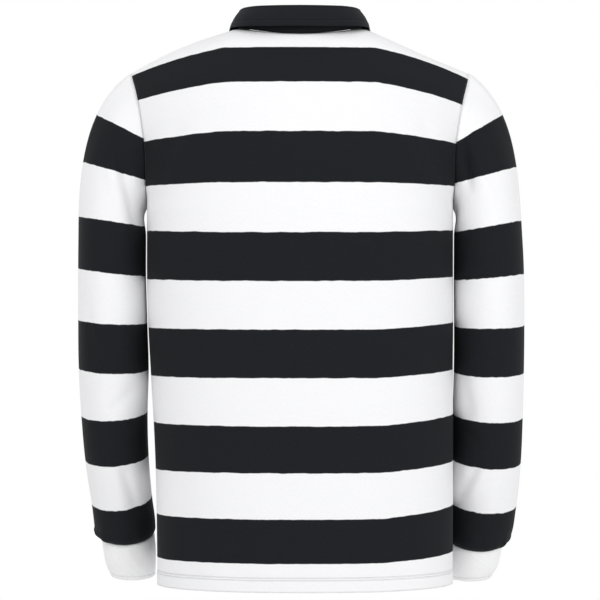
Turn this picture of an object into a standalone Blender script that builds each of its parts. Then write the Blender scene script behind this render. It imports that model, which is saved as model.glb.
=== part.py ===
"""A worn, hooped long-sleeved rugby shirt, hollow, with its back to -Y and its mount at the neck.

Metres, +Z up, +X the wearer's right, +Y the way the wearer faces. Height 0 is at the side of the neck.
"""

import math

import bpy
import numpy as np

# Cloth and seams
JERSEY = 0.0016
CUFF_CLOTH = 0.0024
COLLAR_CLOTH = 0.0018
SEAM_GAP = 0.0003
COLLAR_END = 0.0015
ON_CLOTH = 0.0004

# Rows and columns of each piece
LOW_ROWS = 17
ARMHOLE_ROWS = 12
BACK_YOKE_ROWS = 2
FRONT_YOKE_ROWS = 6
SHOULDER_COLUMNS = 6
NECK_COLUMNS = 12
SLEEVE_CAP_ROWS = 8
SLEEVE_ROWS = 17
CUFF_ROWS = 4
STAND_ROWS = 4
ROLL_ROWS = 5
FALL_ROWS = 7

# Torso
UNDERARM = 8.45
RING_POWER = 2.35
DROP_START = 0.095
SHOULDER_POINT = (0.216, 0.0, -0.0545)
NECK_SIDE = (0.080, 0.0, 0.002)
BACK_NECK = (-0.0755, -0.0100)
FRONT_NECK = (0.0790, -0.0800)
# How far the middle of the left and of the right shoulder seam lies above a straight line
SHOULDER_RISE = (0.0052, -0.0020)

# The half angles at which a ring is round and squarest, and the straight share of the shoulders' fall
ROUND_ANGLE = 55
SQUARE_ANGLE = 90
STRAIGHT_FALL = 0.65

# How far the bend of the yoke lies on the way to the shoulder seam, in x, y and z
YOKE_BEND = (0.30, 0.22, 0.62)

# course, z at centre, z at left, z at right, half width, shift, depth, depth of the end, half angle
BACK = np.array([
    (0.00, -0.7065, -0.7068, -0.7056, 0.1890, 0.0064, 0.112, 0.000, 90),
    (1.00, -0.6705, -0.6715, -0.6645, 0.1893, 0.0064, 0.114, 0.000, 90),
    (2.00, -0.6150, -0.6160, -0.6050, 0.1897, 0.0062, 0.117, 0.000, 90),
    (3.00, -0.5575, -0.5590, -0.5490, 0.1903, 0.0056, 0.120, 0.000, 90),
    (4.00, -0.4990, -0.4990, -0.4893, 0.1915, 0.0043, 0.123, 0.000, 90),
    (5.00, -0.4393, -0.4400, -0.4325, 0.1930, 0.0024, 0.126, 0.000, 90),
    (6.00, -0.3790, -0.3790, -0.3725, 0.1948, 0.0010, 0.128, 0.000, 90),
    (7.00, -0.3190, -0.3177, -0.3145, 0.1955, 0.0000, 0.130, 0.000, 90),
    (8.00, -0.2586, -0.2563, -0.2555, 0.1955, 0.0000, 0.132, 0.000, 90),
    (8.45, -0.2300, -0.2290, -0.2290, 0.1955, 0.0000, 0.132, 0.000, 90),
    (9.00, -0.1972, -0.2000, -0.2000, 0.1958, 0.0000, 0.131, 0.032, 76),
    (10.0, -0.1337, -0.1440, -0.1462, 0.1972, 0.0000, 0.126, 0.047, 62),
    (11.0, -0.0722, -0.0915, -0.0970, 0.2055, 0.0000, 0.112, 0.037, 56),
    (12.0, -0.0272, -0.0590, -0.0630, 0.2145, 0.0000, 0.0805, 0.013, 55),
])
FRONT = np.array([
    (0.00, -0.7065, -0.7068, -0.7056, 0.1890, 0.0064, 0.110, 0.000, 90),
    (1.00, -0.6705, -0.6715, -0.6645, 0.1893, 0.0064, 0.111, 0.000, 90),
    (2.00, -0.6150, -0.6160, -0.6050, 0.1897, 0.0062, 0.112, 0.000, 90),
    (3.00, -0.5575, -0.5590, -0.5490, 0.1903, 0.0056, 0.114, 0.000, 90),
    (4.00, -0.4990, -0.4990, -0.4893, 0.1915, 0.0043, 0.116, 0.000, 90),
    (5.00, -0.4393, -0.4400, -0.4325, 0.1930, 0.0024, 0.118, 0.000, 90),
    (6.00, -0.3790, -0.3790, -0.3725, 0.1948, 0.0010, 0.120, 0.000, 90),
    (7.00, -0.3190, -0.3177, -0.3145, 0.1955, 0.0000, 0.122, 0.000, 90),
    (8.00, -0.2586, -0.2563, -0.2555, 0.1955, 0.0000, 0.124, 0.000, 90),
    (8.45, -0.2300, -0.2290, -0.2290, 0.1955, 0.0000, 0.124, 0.000, 90),
    (9.00, -0.1990, -0.2000, -0.2000, 0.1938, 0.0000, 0.123, 0.034, 76),
    (10.0, -0.1430, -0.1480, -0.1480, 0.1890, 0.0000, 0.115, 0.053, 62),
    (10.7, -0.1030, -0.1090, -0.1090, 0.1950, 0.0000, 0.099, 0.046, 56),
])

# z at the inner side, rise outward, rise forward, inner and outer x of the left and of the right arm,
# y of the axis, half depth
SLEEVE = np.array([
    (-0.2630, 0.215, 0.00, 0.1972, 0.2835, 0.1972, 0.2835, 0.004, 0.0580),
    (-0.3177, 0.177, 0.02, 0.1972, 0.2840, 0.1970, 0.2865, 0.003, 0.0575),
    (-0.3728, 0.100, 0.05, 0.1957, 0.2842, 0.1975, 0.2875, 0.005, 0.0560),
    (-0.4355, 0.060, 0.09, 0.1943, 0.2840, 0.1975, 0.2875, 0.010, 0.0540),
    (-0.4867, -0.050, 0.15, 0.1962, 0.2815, 0.1966, 0.2868, 0.018, 0.0510),
    (-0.5470, -0.070, 0.20, 0.1955, 0.2770, 0.1940, 0.2850, 0.030, 0.0470),
    (-0.6030, -0.050, 0.27, 0.1915, 0.2700, 0.1905, 0.2800, 0.044, 0.0430),
    (-0.6300, -0.060, 0.32, 0.1885, 0.2670, 0.1900, 0.2755, 0.053, 0.0410),
    (-0.6400, -0.060, 0.35, 0.1888, 0.2655, 0.1912, 0.2715, 0.056, 0.0385),
    (-0.6445, -0.060, 0.36, 0.1900, 0.2580, 0.1940, 0.2640, 0.057, 0.0340),
])
CUFF = np.array([
    (-0.6445, -0.060, 0.36, 0.1900, 0.2580, 0.1940, 0.2640, 0.057, 0.0340),
    (-0.6646, -0.045, 0.30, 0.1885, 0.2565, 0.1930, 0.2615, 0.063, 0.0335),
    (-0.6838, -0.025, 0.24, 0.1885, 0.2540, 0.1925, 0.2586, 0.070, 0.0320),
    (-0.7040, 0.000, 0.18, 0.1895, 0.2480, 0.1925, 0.2510, 0.077, 0.0295),
])
# z at the inner side as in the tables above, and where it hangs on the left and on the right arm
HANG = np.array([
    (-0.7040, -0.7045, -0.7060),
    (-0.6445, -0.6475, -0.6560),
    (-0.5000, -0.5000, -0.5000),
    (0.0000, 0.0000, 0.0000),
])

# How steeply the cap leaves the armhole at the underarm and at the shoulder, and how far it runs straight
CAP_ANGLES = (50, 34)
CAP_HANDLES = (0.34, 0.36)
CAP_BULGE = 0.16

# share of the way from the back to the front, fold x, y, z, lower edge x, y, z
COLLAR = np.array([
    (0.000, 0.0000, -0.0690, 0.0262, 0.0000, -0.0840, -0.0010),
    (0.125, 0.0300, -0.0650, 0.0262, 0.0360, -0.0790, -0.0010),
    (0.250, 0.0560, -0.0500, 0.0265, 0.0650, -0.0620, 0.0005),
    (0.375, 0.0705, -0.0275, 0.0258, 0.0820, -0.0340, 0.0015),
    (0.500, 0.0735, 0.0000, 0.0230, 0.0880, 0.0020, 0.0010),
    (0.625, 0.0685, 0.0270, 0.0090, 0.0925, 0.0440, -0.0200),
    (0.750, 0.0530, 0.0500, -0.0120, 0.0880, 0.0780, -0.0540),
    (0.875, 0.0290, 0.0660, -0.0370, 0.0760, 0.1000, -0.0920),
    (1.000, 0.0040, 0.0730, -0.0560, 0.0600, 0.1080, -0.1260),
])
ROLL = 0.0015
LEAF_CLEAR = 0.0022
FALL_BOW = 0.0020
# The leaf is kept off what lies within this distance of it
BESIDE = 0.03

# Placket and buttons
PLACKET_HALF = 0.016
PLACKET_COURSES = (8.00, 10.70)
PLACKET_SHORT = 0.001
PLACKET_ROWS = 12
PLACKET_COLUMNS = 4
BUTTON_RADIUS = 0.006
BUTTON_THICK = 0.0024
BUTTON_SIDES = 24
BUTTON_COURSES = (10.25, 9.25)
# Radius and height of each ring of a button, as shares of its own
BUTTON_LEVELS = ((0.90, 0.0), (1.0, 0.25), (1.0, 0.75), (0.90, 1.0))
# A button's slope is read this far round it, in courses and across
BUTTON_COURSE_STEP = 0.05
BUTTON_ACROSS_STEP = 0.004

# Cloth and button colours and how rough they are
BLACK = (0.016, 0.018, 0.021, 1.0)
WHITE = (0.90, 0.90, 0.90, 1.0)
BUTTON = (0.70, 0.70, 0.68, 1.0)
CLOTH_ROUGHNESS = 0.85
BUTTON_ROUGHNESS = 0.35

# A seam's edge is drawn back by at most its gap over this
LEAST_SLANT = 0.2
# A wall's end at a sharp fold is at most this many times as long as the wall is thick
LONGEST_MITRE = 1.8
# How much being further out counts against being higher where the end faces of a seam are split
OUTWARD_RANK = 0.1


def table(rows, column, at):
    """A smooth curve through one column of a table, read at the given values of its first column."""
    x = rows[:, 0]
    y = rows[:, column]
    order = np.argsort(x)
    x = x[order]
    y = y[order]
    slope = np.gradient(y, x)
    at = np.clip(at, x[0], x[-1])
    i = np.clip(np.searchsorted(x, at) - 1, 0, len(x) - 2)
    step = x[i + 1] - x[i]
    u = (at - x[i]) / step
    value = (2 * u**3 - 3 * u**2 + 1) * y[i]
    value = value + (u**3 - 2 * u**2 + u) * step * slope[i]
    value = value + (3 * u**2 - 2 * u**3) * y[i + 1]
    return value + (u**3 - u**2) * step * slope[i + 1]


def unit(v):
    """Each vector of an array made one long."""
    return v / np.maximum(np.linalg.norm(v, axis=-1, keepdims=True), 1e-12)


def courses(rows, course, across, facing):
    """Points of the torso on the given courses, across from -1 to 1 along x, facing -1 back or 1 front."""
    c, t = np.meshgrid(course, across, indexing="ij")
    values = [table(rows, k, c) for k in range(1, 9)]
    centre, left, right, half, shift, depth, end, angle = values
    square = np.clip((angle - ROUND_ANGLE) / (SQUARE_ANGLE - ROUND_ANGLE), 0, 1)
    power = 2 + (RING_POWER - 2) * square
    top = np.radians(angle)
    turn = np.abs(t) * top
    x = half * np.sign(t) * (np.sin(turn) / np.sin(top)) ** (2 / power)
    low = np.maximum(np.cos(top), 0) ** (2 / power)
    bulge = (np.maximum(np.cos(turn), 0) ** (2 / power) - low) / (1 - low)
    y = facing * (end + (depth - end) * bulge)
    fall = np.clip((np.abs(x) - DROP_START) / (half - DROP_START), 0, 1)
    fall = fall * ((1 - STRAIGHT_FALL) * fall + STRAIGHT_FALL)
    side = np.where(t < 0, left, right)
    return np.stack([x + shift, y, centre + (side - centre) * fall], axis=-1)


def top_line(facing):
    """The shoulder seams and the neckline of one panel, from the left shoulder point to the right one."""
    share = np.linspace(0, 1, SHOULDER_COLUMNS + 1)[:-1]
    start = np.array(SHOULDER_POINT)
    end = np.array(NECK_SIDE)
    seam = start + share[:, None] * (end - start)
    up = np.sin(np.pi * share)[:, None] * (0.0, 0.0, 1.0)
    turn = np.linspace(0, np.pi, NECK_COLUMNS + 1)
    depth, height = BACK_NECK if facing < 0 else FRONT_NECK
    reach = np.sin(turn)
    # The neckline falls late, as the square of how far it has come round
    dip = NECK_SIDE[2] + (height - NECK_SIDE[2]) * reach**2
    neck = np.stack([-NECK_SIDE[0] * np.cos(turn), depth * reach, dip], axis=-1)
    left = (seam + SHOULDER_RISE[0] * up) * (-1, 1, 1)
    right = seam + SHOULDER_RISE[1] * up
    return np.concatenate([left, neck, right[::-1]])


def panel(rows, facing, yoke_rows):
    """The outer face of the back or the front, hem first, as rows of points with the outside to the right."""
    columns = 2 * SHOULDER_COLUMNS + NECK_COLUMNS
    across = np.linspace(-1, 1, columns + 1)
    low = np.linspace(0, UNDERARM, LOW_ROWS)
    high = np.linspace(UNDERARM, rows[-1, 0], ARMHOLE_ROWS - yoke_rows + 1)[1:]
    body = courses(rows, np.concatenate([low, high]), across, facing)
    last = body[-1]
    top = top_line(facing)
    bend = last + (top - last) * YOKE_BEND
    share = np.linspace(0, 1, yoke_rows + 1)[1:, None, None]
    yoke = (1 - share) ** 2 * last + 2 * share * (1 - share) * bend + share**2 * top
    grid = np.concatenate([body, yoke])
    return grid if facing < 0 else grid[:, ::-1]


def arm_rings(rows, height, turn, side):
    """Rings round an arm, from its inner side by way of the back, one for each height at the inner side."""
    z, u = np.meshgrid(height, turn, indexing="ij")
    rise, forward = table(rows, 1, z), table(rows, 2, z)
    first = 3 if side < 0 else 5
    inner = table(rows, first, z)
    outer = table(rows, first + 1, z)
    out = (outer - inner) / 2 * (1 - np.cos(u))
    back = -table(rows, 8, z) * np.sin(u)
    x = side * (inner + out)
    y = table(rows, 7, z) + back
    hung = np.interp(z, HANG[:, 0], HANG[:, 1 if side < 0 else 2])
    return np.stack([x, y, hung + rise * out + forward * back], axis=-1)


def armhole(back, front, side):
    """The armhole loop, from the underarm up the back to the shoulder point and down the front."""
    rear = back[LOW_ROWS - 1:, 0 if side < 0 else -1]
    fore = front[LOW_ROWS - 1:, -1 if side < 0 else 0]
    return np.concatenate([rear, fore[-2:0:-1]])


def sleeve(back, front, side):
    """The outer face of a sleeve, armhole first, and the turn of each of its columns round the arm."""
    loop = armhole(back, front, side)
    closed = np.concatenate([loop, loop[:1]])
    run = np.concatenate([[0], np.cumsum(np.linalg.norm(np.diff(closed, axis=0), axis=1))])
    half = ARMHOLE_ROWS
    turn = np.empty(2 * half)
    turn[:half] = np.pi * run[:half] / run[half]
    turn[half:] = np.pi * (1 + (run[half:-1] - run[half]) / (run[-1] - run[half]))
    height = np.concatenate([np.linspace(SLEEVE[0, 0], SLEEVE[-3, 0], SLEEVE_ROWS), SLEEVE[-2:, 0]])
    rings = arm_rings(SLEEVE, height, turn, side)
    share = np.linspace(0, 1, SLEEVE_CAP_ROWS + 1)[:-1, None, None]
    over = (1 - np.cos(turn)) / 2
    angle = np.radians(CAP_ANGLES[0] + (CAP_ANGLES[1] - CAP_ANGLES[0]) * over)
    away = np.stack([side * np.cos(angle), -CAP_BULGE * np.sin(turn), -np.sin(angle)], axis=-1)
    length = np.linalg.norm(rings[0] - loop, axis=1, keepdims=True)
    first = loop + CAP_HANDLES[0] * length * unit(away)
    down = unit(rings[1] - rings[0])
    second = rings[0] - CAP_HANDLES[1] * length * down
    cap = (1 - share) ** 3 * loop + 3 * share * (1 - share) ** 2 * first
    cap = cap + 3 * share**2 * (1 - share) * second + share**3 * rings[0]
    grid = np.concatenate([cap, rings])
    return (grid if side < 0 else grid[:, ::-1]), turn


def neck_loop(back, front):
    """The neckline from the centre front by the left side and the back round to the centre front."""
    middle = SHOULDER_COLUMNS + NECK_COLUMNS // 2
    last = SHOULDER_COLUMNS + NECK_COLUMNS
    fore = front[-1]
    rear = back[-1]
    return np.concatenate([fore[middle:last], rear[SHOULDER_COLUMNS:last], fore[SHOULDER_COLUMNS:middle + 1]])


def collar(loop):
    """The outer faces of the stand and of the leaf that rolls over it. The leaf's is its underside."""
    place = np.linspace(-1, 1, len(loop))
    share = np.abs(place)
    side = np.sign(place)
    values = [table(COLLAR, k, share) for k in range(1, 7)]
    fold = np.stack([side * values[0], values[1], values[2]], axis=-1)
    edge = np.stack([side * values[3], values[4], values[5]], axis=-1)
    up = np.array((0.0, 0.0, 1.0))
    out = unit((edge - fold) * (1, 1, 0))
    base = fold - 2 * ROLL * up
    v = np.linspace(0, 1, STAND_ROWS + 1)[:, None, None]
    stand = loop + v * (base - loop)
    a = np.linspace(0, np.pi, ROLL_ROWS + 1)[:, None, None]
    roll = base + ROLL * out - ROLL * np.cos(a) * out + ROLL * np.sin(a) * up
    v = np.linspace(0, 1, FALL_ROWS + 1)[1:, None, None]
    fall = roll[-1] + v * (edge - roll[-1]) + FALL_BOW * np.sin(np.pi * v) * out
    return stand, np.concatenate([roll, fall])


def kept_off(points, grids, normals, clear):
    """The points moved out where they come nearer than clear to the faces under them."""
    under = np.concatenate([grid.reshape(-1, 3) for grid in grids])
    facing = np.concatenate([n.reshape(-1, 3) for n in normals])
    flat = points.reshape(-1, 3).copy()
    for _ in range(3):
        gap = np.linalg.norm(flat[:, None] - under[None], axis=2)
        near = gap.argmin(axis=1)
        height = ((flat - under[near]) * facing[near]).sum(axis=1)
        lift = np.where(gap.min(axis=1) < BESIDE, np.maximum(clear - height, 0), 0)
        flat += lift[:, None] * facing[near]
    return flat.reshape(points.shape)


def finer(grid, times):
    """A grid with the given number of steps in each of its own."""
    rows = np.linspace(0, grid.shape[0] - 1, (grid.shape[0] - 1) * times + 1)
    columns = np.linspace(0, grid.shape[1] - 1, (grid.shape[1] - 1) * times + 1)
    i = np.minimum(rows.astype(int), grid.shape[0] - 2)
    j = np.minimum(columns.astype(int), grid.shape[1] - 2)
    u = (rows - i)[:, None, None]
    v = (columns - j)[None, :, None]
    first = grid[i][:, j] * (1 - v) + grid[i][:, j + 1] * v
    second = grid[i + 1][:, j] * (1 - v) + grid[i + 1][:, j + 1] * v
    return first * (1 - u) + second * u


def grid_faces(rows, columns, closed):
    """The four-sided faces of a grid of points, as rows of point numbers."""
    i, j = np.meshgrid(np.arange(rows - 1), np.arange(columns if closed else columns - 1), indexing="ij")
    k = (j + 1) % columns
    low = i * columns
    high = low + columns
    return np.stack([low + j, low + k, high + k, high + j], axis=-1).reshape(-1, 4)


def shared_normals(grids, closed, groups):
    """The normals of pieces that are sewn together, and how much longer than a wall its mitre is.

    Both are the same on both sides of a seam. Each group of pieces counts once at a seam, so that the normal
    halves the angle between them also where a sharp fold has more faces on one side.
    """
    points = np.concatenate([grid.reshape(-1, 3) for grid in grids])
    _, index = np.unique(np.round(points * 1e6).astype(np.int64), axis=0, return_inverse=True)
    index = index.reshape(-1)
    sums = np.zeros((max(groups) + 1, index.max() + 1, 3))
    start = 0
    for grid, wraps, group in zip(grids, closed, groups):
        faces = grid_faces(grid.shape[0], grid.shape[1], wraps) + start
        corners = points[faces]
        normal = unit(np.cross(corners[:, 2] - corners[:, 0], corners[:, 3] - corners[:, 1]))
        for k in range(4):
            np.add.at(sums[group], index[faces[:, k]], normal)
        start += grid.shape[0] * grid.shape[1]
    each = unit(sums)
    total = unit(each.sum(axis=0))
    there = np.linalg.norm(sums, axis=-1) > 0
    lean = np.where(there, (each * total).sum(axis=-1), 1).min(axis=0)
    mitre = 1 / np.maximum(lean, 1 / LONGEST_MITRE)
    found = []
    start = 0
    for grid in grids:
        own = index[start:start + grid.shape[0] * grid.shape[1]]
        found.append((total[own].reshape(grid.shape), mitre[own].reshape(grid.shape[:2] + (1,))))
        start += len(own)
    return found


def trimmed(grid, normal, edges, closed):
    """The grid with each named edge drawn back into the piece, so that its end face leaves a seam its gap."""
    moved = grid.copy()
    for where, gap in edges.items():
        by_row = where in ("first_row", "last_row")
        first = where.startswith("first")
        edge, beside = (0, 1) if first else (-1, -2)
        line = grid[edge] if by_row else grid[:, edge]
        inner = grid[beside] if by_row else grid[:, beside]
        facing = normal[edge] if by_row else normal[:, edge]
        if by_row and closed:
            along = np.roll(line, -1, axis=0) - np.roll(line, 1, axis=0)
        else:
            along = np.gradient(line, axis=0)
        across = unit(np.cross(along, facing))
        inward = unit(inner - line)
        slant = np.maximum(np.abs((inward * across).sum(axis=-1, keepdims=True)), LEAST_SLANT)
        if by_row:
            moved[edge] += inward * gap / slant
        else:
            moved[:, edge] += inward * gap / slant
    return moved


def material(name, colour, roughness):
    """A plain cloth or button material."""
    made = bpy.data.materials.new(name)
    made.use_nodes = True
    shader = made.node_tree.nodes["Principled BSDF"]
    shader.inputs["Base Color"].default_value = colour
    shader.inputs["Roughness"].default_value = roughness
    made.diffuse_color = colour
    return made


def body(name, points, faces, made_of):
    """One closed body as its own object."""
    mesh = bpy.data.meshes.new(name)
    mesh.from_pydata([tuple(p) for p in points], [], [tuple(f) for f in faces])
    mesh.materials.append(made_of)
    mesh.update()
    made = bpy.data.objects.new(name, mesh)
    bpy.context.scene.collection.objects.link(made)
    return made


def wall(name, grid, inward, closed, colour):
    """A cloth wall: the grid, the grid moved in by the thickness, and the edges between them."""
    rows, columns = grid.shape[:2]
    faces = grid_faces(rows, columns, closed)
    count = rows * columns
    ends = np.concatenate([faces[:, [k, (k + 1) % 4]] for k in range(4)])
    known = set(map(tuple, ends.tolist()))
    rim = np.array([e for e in ends.tolist() if (e[1], e[0]) not in known])
    points = np.concatenate([grid.reshape(-1, 3), (grid + inward).reshape(-1, 3)])
    # Both sides of a seam split its end faces from the same corner, the one further out and then higher
    rank = points[:, 2] + np.abs(points[:, 0]) * OUTWARD_RANK
    sides = []
    for a, b in rim.tolist():
        if rank[a] > rank[b]:
            sides += [[b, a, b + count], [a, a + count, b + count]]
        else:
            sides += [[b, a, a + count], [b, a + count, b + count]]
    every = faces.tolist() + (faces[:, ::-1] + count).tolist() + sides
    return body(name, points.tolist(), every, material(name + "_cloth", colour, CLOTH_ROUGHNESS))


def front_at(course, x):
    """Points of the front on the given courses at the given distances from the centre line."""
    across = np.linspace(-0.5, 0.5, 201)
    fine = courses(FRONT, course, across, 1)
    found = np.empty((len(course), len(x), 3))
    for i, line in enumerate(fine):
        for k in range(3):
            found[i, :, k] = np.interp(x, line[:, 0], line[:, k])
    return found


def grid_normals(grid):
    """The normals of one open grid."""
    return shared_normals([grid], [False], [0])[0][0]


def placket(front):
    """The plain strip down the centre front, made from the front's points moved out."""
    course = np.linspace(PLACKET_COURSES[0], PLACKET_COURSES[1], PLACKET_ROWS + 1)
    x = np.linspace(PLACKET_HALF, -PLACKET_HALF, PLACKET_COLUMNS + 1)
    yoke = front[-FRONT_YOKE_ROWS:]
    above = np.empty((FRONT_YOKE_ROWS, len(x), 3))
    for i, line in enumerate(yoke):
        for k in range(3):
            above[i, :, k] = np.interp(-x, -line[:, 0], line[:, k])
    above[-1] += PLACKET_SHORT * unit(above[-2] - above[-1])
    under = np.concatenate([front_at(course, x[::-1])[:, ::-1], above])
    normal = grid_normals(under)
    face = under + (ON_CLOTH + JERSEY) * normal
    wall("placket", face, -JERSEY * normal, False, BLACK)


def button(name, course):
    """A flat round button on the placket."""
    steps = np.array([-1.0, 0.0, 1.0])
    spot = front_at(course + steps * BUTTON_COURSE_STEP, steps * BUTTON_ACROSS_STEP)
    along = unit(spot[1, 2] - spot[1, 0])
    up = unit(spot[2, 1] - spot[0, 1])
    out = unit(np.cross(up, along))
    base = spot[1, 1] + out * (2 * ON_CLOTH + JERSEY)
    turn = np.arange(BUTTON_SIDES) * 2 * math.pi / BUTTON_SIDES
    ring = np.cos(turn)[:, None] * along + np.sin(turn)[:, None] * up
    points = [base + BUTTON_RADIUS * wide * ring + out * BUTTON_THICK * high for wide, high in BUTTON_LEVELS]
    points = np.concatenate(points)
    n = BUTTON_SIDES
    faces = grid_faces(len(BUTTON_LEVELS), n, True)[:, ::-1].tolist()
    faces.append(list(range(n)))
    faces.append([len(points) - 1 - j for j in range(n)])
    body(name, points.tolist(), faces, material(name + "_resin", BUTTON, BUTTON_ROUGHNESS))


def main():
    """Clears the scene and makes the eleven pieces of the shirt."""
    for old in list(bpy.data.objects):
        bpy.data.objects.remove(old)
    back = panel(BACK, -1, BACK_YOKE_ROWS)
    front = panel(FRONT, 1, FRONT_YOKE_ROWS)
    left, left_turn = sleeve(back, front, -1)
    right, right_turn = sleeve(back, front, 1)
    height = np.linspace(CUFF[0, 0], CUFF[-1, 0], CUFF_ROWS + 1)
    cuff_left = arm_rings(CUFF, height, left_turn, -1)
    cuff_right = arm_rings(CUFF, height, right_turn, 1)[:, ::-1]
    stand, leaf = collar(neck_loop(back, front))
    panels = (finer(back, 3), finer(front, 3))
    leaf[ROLL_ROWS:] = kept_off(leaf[ROLL_ROWS:], panels, [grid_normals(g) for g in panels], LEAF_CLEAR)
    grids = [back, front, left, right, cuff_left, cuff_right, stand, leaf]
    closed = [False, False, True, True, True, True, False, False]
    # The back and the front count as one at the armholes and the neckline
    groups = [0, 0, 1, 2, 3, 4, 5, 6]
    normals = shared_normals(grids, closed, groups)
    half = SEAM_GAP / 2
    sewn = {"first_column": half, "last_column": half, "last_row": half}
    tube = {"first_row": half, "last_row": half}
    ends = {"first_column": COLLAR_END, "last_column": COLLAR_END}
    pieces = (
        ("back", JERSEY, BLACK, sewn),
        ("front", JERSEY, BLACK, sewn),
        ("sleeve_left", JERSEY, BLACK, tube),
        ("sleeve_right", JERSEY, BLACK, tube),
        ("cuff_left", CUFF_CLOTH, WHITE, {"first_row": half}),
        ("cuff_right", CUFF_CLOTH, WHITE, {"first_row": half}),
        ("collar_stand", COLLAR_CLOTH, BLACK, {"first_row": half, "last_row": half, **ends}),
        ("collar_leaf", COLLAR_CLOTH, BLACK, {"first_row": half, **ends}),
    )
    for (name, thick, colour, edges), grid, wraps, (normal, mitre) in zip(pieces, grids, closed, normals):
        wall(name, trimmed(grid, normal, edges, wraps), -thick * mitre * normal, wraps, colour)
    placket(front)
    for number, course in enumerate(BUTTON_COURSES, 1):
        button(f"button_{number}", course)


main()
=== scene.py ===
import functools
import math

import bpy
import numpy as np
from bpy.props import FloatProperty, FloatVectorProperty, IntProperty, PointerProperty
from bpy.types import Operator, Panel, PropertyGroup
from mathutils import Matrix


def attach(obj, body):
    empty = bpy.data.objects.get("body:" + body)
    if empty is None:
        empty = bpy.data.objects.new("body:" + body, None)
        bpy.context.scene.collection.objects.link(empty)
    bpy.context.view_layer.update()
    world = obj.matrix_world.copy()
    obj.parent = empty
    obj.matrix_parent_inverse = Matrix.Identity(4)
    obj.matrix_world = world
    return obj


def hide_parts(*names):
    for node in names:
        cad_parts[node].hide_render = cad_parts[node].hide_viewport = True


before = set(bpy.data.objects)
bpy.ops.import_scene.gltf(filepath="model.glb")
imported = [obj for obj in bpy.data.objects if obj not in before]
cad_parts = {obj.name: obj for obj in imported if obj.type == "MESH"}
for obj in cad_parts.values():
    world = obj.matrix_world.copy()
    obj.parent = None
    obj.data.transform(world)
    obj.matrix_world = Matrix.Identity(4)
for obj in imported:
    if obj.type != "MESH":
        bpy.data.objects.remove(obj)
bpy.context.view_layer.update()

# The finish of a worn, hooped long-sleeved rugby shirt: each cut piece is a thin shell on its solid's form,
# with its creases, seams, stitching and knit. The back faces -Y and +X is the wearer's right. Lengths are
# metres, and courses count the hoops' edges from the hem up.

bl_info = {
    "name": "Hooped rugby shirt",
    "version": (1, 0, 0),
    "blender": (4, 5, 0),
    "location": "View3D > Sidebar > Shirt",
    "description": "Builds a worn, hooped long-sleeved shirt on its packed frame",
    "category": "Object",
}

# Torso: course of the underarm, power of its squarest rings, how far out the shoulders start to fall
UNDERARM = 8.45
RING_POWER = 2.35
DROP_START = 0.095
# Outer and inner end of the right shoulder seam, then y and z of the middle of each neckline
SHOULDER_POINT = (0.216, 0.0, -0.0545)
NECK_SIDE = (0.080, 0.0, 0.002)
BACK_NECK = (-0.0755, -0.0100)
FRONT_NECK = (0.0790, -0.0800)
# How far the middle of the left and of the right shoulder seam stands over a straight line
SHOULDER_RISE = (0.0052, -0.0020)
# The course that the back's hoops have reached at its top edge
TOP_COURSE = 12.45
# Half angles in degrees at which a ring is round and squarest
ROUND_ANGLE = 55
SQUARE_ANGLE = 90
# The straight share of the shoulders' fall, whose rest grows with the square of the distance
STRAIGHT_FALL = 0.65
# The yoke's bend: shares of the way from the last ring to the top edge in x, y and z
YOKE_BEND = (0.30, 0.22, 0.62)

# course, z at centre, z at left, z at right, half width, shift, depth, depth of the end, half angle
BACK = np.array([
    (0.00, -0.7065, -0.7068, -0.7056, 0.1890, 0.0064, 0.112, 0.000, 90),
    (1.00, -0.6705, -0.6715, -0.6645, 0.1893, 0.0064, 0.114, 0.000, 90),
    (2.00, -0.6150, -0.6160, -0.6050, 0.1897, 0.0062, 0.117, 0.000, 90),
    (3.00, -0.5575, -0.5590, -0.5490, 0.1903, 0.0056, 0.120, 0.000, 90),
    (4.00, -0.4990, -0.4990, -0.4893, 0.1915, 0.0043, 0.123, 0.000, 90),
    (5.00, -0.4393, -0.4400, -0.4325, 0.1930, 0.0024, 0.126, 0.000, 90),
    (6.00, -0.3790, -0.3790, -0.3725, 0.1948, 0.0010, 0.128, 0.000, 90),
    (7.00, -0.3190, -0.3177, -0.3145, 0.1955, 0.0000, 0.130, 0.000, 90),
    (8.00, -0.2586, -0.2563, -0.2555, 0.1955, 0.0000, 0.132, 0.000, 90),
    (8.45, -0.2300, -0.2290, -0.2290, 0.1955, 0.0000, 0.132, 0.000, 90),
    (9.00, -0.1972, -0.2000, -0.2000, 0.1958, 0.0000, 0.131, 0.032, 76),
    (10.0, -0.1337, -0.1440, -0.1462, 0.1972, 0.0000, 0.126, 0.047, 62),
    (11.0, -0.0722, -0.0915, -0.0970, 0.2055, 0.0000, 0.112, 0.037, 56),
    (12.0, -0.0272, -0.0590, -0.0630, 0.2145, 0.0000, 0.0805, 0.013, 55),
])
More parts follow.
